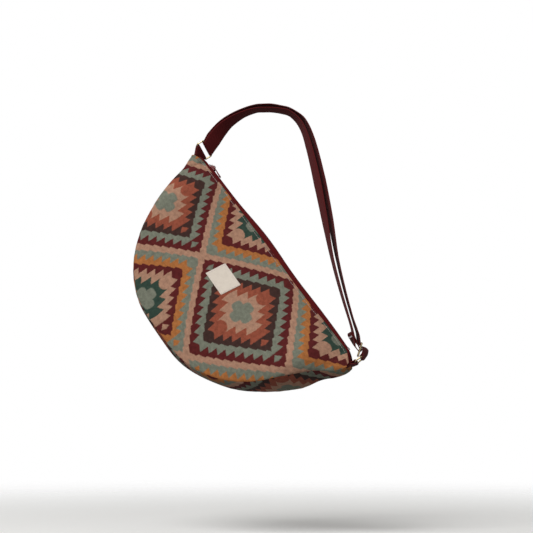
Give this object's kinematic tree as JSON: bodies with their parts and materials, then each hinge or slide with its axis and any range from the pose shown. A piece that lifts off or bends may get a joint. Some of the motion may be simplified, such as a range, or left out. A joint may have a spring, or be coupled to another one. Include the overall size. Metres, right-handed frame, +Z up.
{
  "type": "crescent crossbody bag",
  "caption": "Soft half-moon crossbody bag of kilim-patterned cloth with a top zip, blank sewn label, wire rings and a doubled webbing strap with a slider, hanging aslant from its strap.",
  "frame": {"origin": "the underside of the inner strap strand at the crest, where the bag hangs from a post or hook", "axes": "+Z up against gravity, front of the bag towards -Y, +X to the viewer's right with the bag's zip sloping down to the right"},
  "size_m": [0.3351, 0.1806, 0.4184],
  "materials": {
    "printed_cloth": "thick matte cotton, kilim pattern in burgundy, rust, sage green, dusty pink and orange",
    "lining_cloth": "plain matte lining",
    "zip_red": "woven zip tape",
    "zip_coil": "moulded nylon teeth",
    "gloss_red": "glossy enamel on metal",
    "label_cream": "woven label, blank",
    "pale_gold": "polished, pale gold",
    "burgundy_webbing": "ribbed cotton webbing"
  },
  "bodies": {
    "bag": {"front_panel": "printed_cloth", "bottom_gusset": "printed_cloth", "back_panel": "printed_cloth", "lining": "lining_cloth", "zip_tape_front": "zip_red", "zip_tape_back": "zip_red", "zip_teeth_front": "zip_coil", "zip_teeth_back": "zip_coil", "zip_stop_front": "zip_coil", "zip_stop_back": "zip_coil", "zip_stop_end": "zip_coil", "label": "label_cream", "strap_webbing": "burgundy_webbing", "tab_left": "burgundy_webbing", "tab_right": "burgundy_webbing"},
    "slider": {"zip_slider": "gloss_red"},
    "pull": {"zip_pull": "gloss_red"},
    "left_ring": {"ring_left": "pale_gold"},
    "right_ring": {"ring_right": "pale_gold"},
    "strap_adjuster": {"strap_slider": "pale_gold"}
  },
  "joints": [
    {"name": "zip_travel", "type": "slide", "parent": "bag", "child": "slider", "axis": [0.5732, -0.309, -0.7589], "range_m": [0, 0.335]},
    {"name": "pull_swing", "type": "hinge", "parent": "slider", "child": "pull", "pos_m": [-0.0781, -0.01907, -0.08354], "axis": [-0.1862, -0.9511, 0.2466], "range_deg": [0, 160]},
    {"name": "left_ring_play", "type": "hinge", "parent": "bag", "child": "left_ring", "pos_m": [-0.09768, -0.01002, -0.06111], "axis": [0.3965, 0.5514, -0.734], "range_deg": [-2.5, 2.5]},
    {"name": "right_ring_play", "type": "hinge", "parent": "bag", "child": "right_ring", "pos_m": [0.12528, -0.1318, -0.36472], "axis": [0.0982, 0.9866, -0.13], "range_deg": [-2.5, 2.5]},
    {"name": "strap_slider_play", "type": "hinge", "parent": "bag", "child": "strap_adjuster", "pos_m": [0.13108, -0.12822, -0.34651], "axis": [0, 1, 0], "range_deg": [-2.5, 2.5]}
  ]
}
